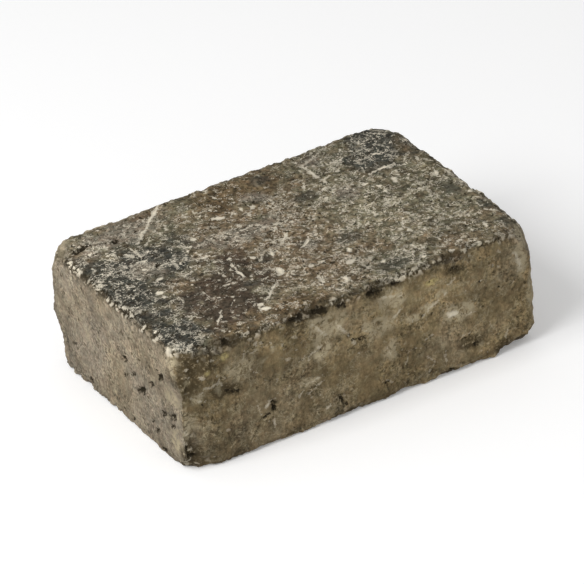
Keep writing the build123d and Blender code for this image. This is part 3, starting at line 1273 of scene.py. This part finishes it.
def sandy_body(tree, finish):
    """Undyed body: sandy beige, stained ochre and dark olive, with painted shade in notches, single grains
    and lime bloom.
    """
    body = tree.mix(tree.mark("ochre"), finish.beige, finish.ochre)
    body = tree.mix(tree.times(tree.mark("bare"), COVER["bare"]), body, finish.cream)
    body = tree.shade(body, tree.mix(tree.pattern("body tint"), WARM_TINT, COOL_TINT))
    # Darker towards the left and the bottom of the front
    body = tree.shade(body, tree.ranged(tree.mark("front_gradient"), "front_gradient"))
    for kind in ("body clouds", "body mottle"):
        body = tree.shade(body, tree.pattern(kind))
    rough = tree.pattern("rough")
    body = tree.mix(rough, body, tree.shade(body, tree.pattern("rough grain")))
    body = tree.shade(body, tree.pattern("drags", place=tree.stretched(DRAG_STRETCH)))
    body = tree.mix(tree.times(rough, tree.pattern("smears"), COVER["smears"]), body, finish.cream)

    number, middle = tree.grains(GRAIN_SIZE, tree.warped(*GRAIN_WARP))
    single = tree.times(rough, tree.ranged(middle, "grain middle"))
    pale = tree.times(single, tree.ranged(number, "pale number"), COVER["pale"])
    scratches = tree.times(tree.hairlines(SCRATCH_SIZES), tree.pattern("scratches"), COVER["scratches"])
    body = tree.mix(tree.strongest(pale, scratches), body, finish.cream)
    specks = tree.strongest(tree.pattern("specks"), tree.ranged(number, "speck number"))
    body = tree.mix(tree.times(single, specks, COVER["specks"]), body, finish.moss_and_shade)

    # Stains, with painted shade in the notches under the front arris
    stain_and_shade = tree.mark("stain_and_shade")
    body = tree.mix(tree.times(stain_and_shade, tree.pattern("stain_and_shade"), COVER["stain_and_shade"]), body, finish.moss_and_shade)
    grit = tree.times(stain_and_shade, tree.pattern("grit"), COVER["grit"])
    bloom = tree.times(tree.mark("bloom"), tree.pattern("bloom"), COVER["bloom"])
    body = tree.mix(tree.strongest(bloom, grit), body, finish.cream)
    return tree.mix(tree.frayed("scuff"), body, finish.lime)


def weathered_concrete(finish):
    """The paver's material: dyed face over sandy body, pale edge chips, painted shade in spalls and gaps,
    dirt and shade in pits.
    """
    tree = FinishTree("weathered_concrete")
    colour = tree.mix(tree.mark("dyed"), sandy_body(tree, finish), weathered_top(tree, finish))
    # Painted shade in the spalls, in the colour of the dark olive stains
    colour = tree.mix(tree.times(tree.mark("spall"), tree.pattern("spall")), colour, finish.moss_and_shade)
    crumb = tree.mark("crumb")
    stone = tree.mark("stone")
    within = tree.total(tree.mark("within"), tree.pattern("stone edges"))
    # Dark gaps between the edge's stones: painted shade in their cracks
    gaps = tree.strongest(tree.ranged(within, "gap within"), tree.ranged(stone, "gap stone"))
    colour = tree.mix(tree.times(crumb, gaps, COVER["gaps"]), colour, finish.grime_and_shade)
    chips = tree.times(crumb, tree.ranged(stone, "chip stone"), tree.ranged(within, "chip within"))
    chips = tree.strongest(chips, tree.mark("chip"))
    colour = tree.mix(tree.times(chips, COVER["chips"]), colour, finish.lime)
    colour = tree.mix(tree.times(tree.mark("lichen"), tree.pattern("lichen")), colour, finish.lichen)
    # Painted shade in the hollows and painted highlight on the crests of the relief
    colour = tree.shade(colour, tree.ranged(tree.mark("relief"), "relief"))
    # Dirt and painted shade in pits, bug holes and hollows
    in_pit = tree.total(tree.mark("pit"), tree.pattern("pit edges"))
    pit_dirt_and_shade = [PIT_SHADE * value for value in finish.grime_and_shade]
    colour = tree.mix(tree.ranged(in_pit, "pit"), colour, pit_dirt_and_shade)
    tree.feed(tree.shader.inputs["Base Color"], colour)

    tree.feed(tree.shader.inputs["Roughness"], tree.pattern("gloss"))
    tree.shader.inputs["Specular IOR Level"].default_value = SPECULAR_LEVEL
    _, from_grain = tree.grains(BUMP_GRAIN)
    height = tree.total(tree.noise(*BUMP_NOISE), tree.times(from_grain, BUMP_GRAIN_SHARE))
    bump = tree.add("ShaderNodeBump")
    tree.feed(bump.inputs["Strength"], tree.ranged(tree.mark("dyed"), "bump"))
    bump.inputs["Distance"].default_value = BUMP_HEIGHT * MM
    tree.feed(bump.inputs["Height"], height)
    tree.feed(tree.shader.inputs["Normal"], bump.outputs["Normal"])
    return tree.material


class PAVER_OT_block(bpy.types.Operator):
    """Make the worn concrete block in place of its plain solid"""

    bl_idname = "paver.block"
    bl_label = "Tumbled block"

    def execute(self, context):
        scene = context.scene
        points, squares, faces, lattice, marks = worn_skin(scene.paver_shape)
        places = bake_places(squares, faces, lattice)
        block = skin_object("tumbled_paver", points, squares, marks, places)
        block.data.materials.append(weathered_concrete(scene.paver_finish))
        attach(block, "root")
        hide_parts("paver")
        return {"FINISHED"}


# Where the soft lamp stands, the floor's half width, roughness and glow, and the camera's sensor
KEY_PLACE = Vector((-1.13, -0.2, 1.16))
FLOOR_HALF_WIDTH = 4.0
FLOOR_ROUGHNESS = 0.9
FLOOR_GLOW = 0.16
SENSOR_WIDTH = 36.0
WHITE = (1.0, 1.0, 1.0, 1.0)


def seen_directly(tree):
    """A socket that is 1 for rays from the camera, from gloss and through glass, and else 0."""
    path = tree.nodes.new("ShaderNodeLightPath")
    seen = path.outputs["Is Camera Ray"]
    for ray in ("Is Glossy Ray", "Is Transmission Ray"):
        either = tree.nodes.new("ShaderNodeMath")
        either.operation = "MAXIMUM"
        tree.links.new(seen, either.inputs[0])
        tree.links.new(path.outputs[ray], either.inputs[1])
        seen = either.outputs["Value"]
    return seen


def floor_sheet(half_width, colour):
    """One flat square under the paver, with a plain matt finish."""
    mesh = bpy.data.meshes.new("floor")
    corners = np.array([(-1, -1, 0), (1, -1, 0), (1, 1, 0), (-1, 1, 0)]) * half_width
    mesh.from_pydata(corners.tolist(), [], [(0, 1, 2, 3)])
    material = bpy.data.materials.new("pale_floor")
    material.use_nodes = True
    nodes = material.node_tree.nodes
    shader = nodes["Principled BSDF"]
    shader.inputs["Base Color"].default_value = (*colour, 1.0)
    shader.inputs["Roughness"].default_value = FLOOR_ROUGHNESS
    shader.inputs["Emission Color"].default_value = WHITE
    glow = nodes.new("ShaderNodeMath")
    glow.operation = "MULTIPLY"
    glow.inputs[1].default_value = FLOOR_GLOW
    links = material.node_tree.links
    links.new(seen_directly(material.node_tree), glow.inputs[0])
    links.new(glow.outputs["Value"], shader.inputs["Emission Strength"])
    mesh.materials.append(material)
    floor = bpy.data.objects.new("floor", mesh)
    bpy.context.scene.collection.objects.link(floor)


def white_sky(level):
    """Even light all round at that level, which the camera itself sees as plain white."""
    world = bpy.data.worlds.new("white_sky")
    world.use_nodes = True
    nodes = world.node_tree.nodes
    links = world.node_tree.links
    strength = nodes.new("ShaderNodeMix")
    strength.inputs[2].default_value = level
    strength.inputs[3].default_value = 1.0
    links.new(seen_directly(world.node_tree), strength.inputs[0])
    nodes["Background"].inputs["Color"].default_value = WHITE
    links.new(strength.outputs[0], nodes["Background"].inputs["Strength"])
    bpy.context.scene.world = world


def aimed(eye, target, roll=0.0):
    """Placement of a thing at eye that looks along its own -Z at target, turned about that line by roll."""
    back = (eye - target).normalized()
    right = Vector((0, 0, 1)).cross(back).normalized()
    facing = Matrix((right, back.cross(right), back)).transposed().to_4x4()
    return Matrix.Translation(eye) @ facing @ Matrix.Rotation(roll, 4, "Z")


def soft_lamp(name, eye, target, size, power):
    """A square lamp that faces the paver."""
    lamp = bpy.data.lights.new(name, "AREA")
    lamp.size = size
    lamp.energy = power
    holder = bpy.data.objects.new(name, lamp)
    holder.matrix_world = aimed(eye, target)
    bpy.context.scene.collection.objects.link(holder)


class PAVER_OT_stage(bpy.types.Operator):
    """Make the pale floor, the soft light and the camera"""

    bl_idname = "paver.stage"
    bl_label = "Stage"

    def execute(self, context):
        scene = context.scene
        stage = scene.paver_stage
        middle = (CAD_BOX[0] + CAD_BOX[1]) / 2
        floor_sheet(FLOOR_HALF_WIDTH, stage.floor_colour)
        white_sky(stage.sky_light)
        soft_lamp("key", KEY_PLACE, middle, stage.key_size, stage.key_power)
        camera = bpy.data.cameras.new("camera")
        camera.lens = stage.lens
        camera.sensor_width = SENSOR_WIDTH
        holder = bpy.data.objects.new("camera", camera)
        holder.matrix_world = aimed(Vector(stage.eye), middle, stage.roll)
        scene.collection.objects.link(holder)
        scene.camera = holder
        scene.view_settings.view_transform = "Standard"
        return {"FINISHED"}


# The operator that follows a group of settings in the panel
MAKERS = {"paver_shape": "paver.block", "paver_stage": "paver.stage"}


class PAVER_PT_sidebar(bpy.types.Panel):
    """The paver's settings and what makes it"""

    bl_label = "Paver"
    bl_idname = "PAVER_PT_sidebar"
    bl_space_type = "VIEW_3D"
    bl_region_type = "UI"
    bl_category = "Paver"

    def draw(self, context):
        for group in GROUPS:
            settings = getattr(context.scene, group)
            for name in settings.__annotations__:
                self.layout.prop(settings, name)
            if group in MAKERS:
                self.layout.operator(MAKERS[group])


CLASSES = (PaverShape, ConcreteFinish, StudioStage, PAVER_OT_block, PAVER_OT_stage, PAVER_PT_sidebar)
GROUPS = {"paver_shape": PaverShape, "paver_finish": ConcreteFinish, "paver_stage": StudioStage}


def register():
    """Adds the classes, and the groups of settings to every scene."""
    for item in CLASSES:
        bpy.utils.register_class(item)
    for name, group in GROUPS.items():
        setattr(bpy.types.Scene, name, PointerProperty(type=group))


def unregister():
    """Takes away what register adds."""
    for name in GROUPS:
        delattr(bpy.types.Scene, name)
    for item in reversed(CLASSES):
        bpy.utils.unregister_class(item)


def main():
    """Makes the paver and its stage."""
    register()
    bpy.ops.paver.block()
    bpy.ops.paver.stage()


if __name__ == "__main__":
    main()
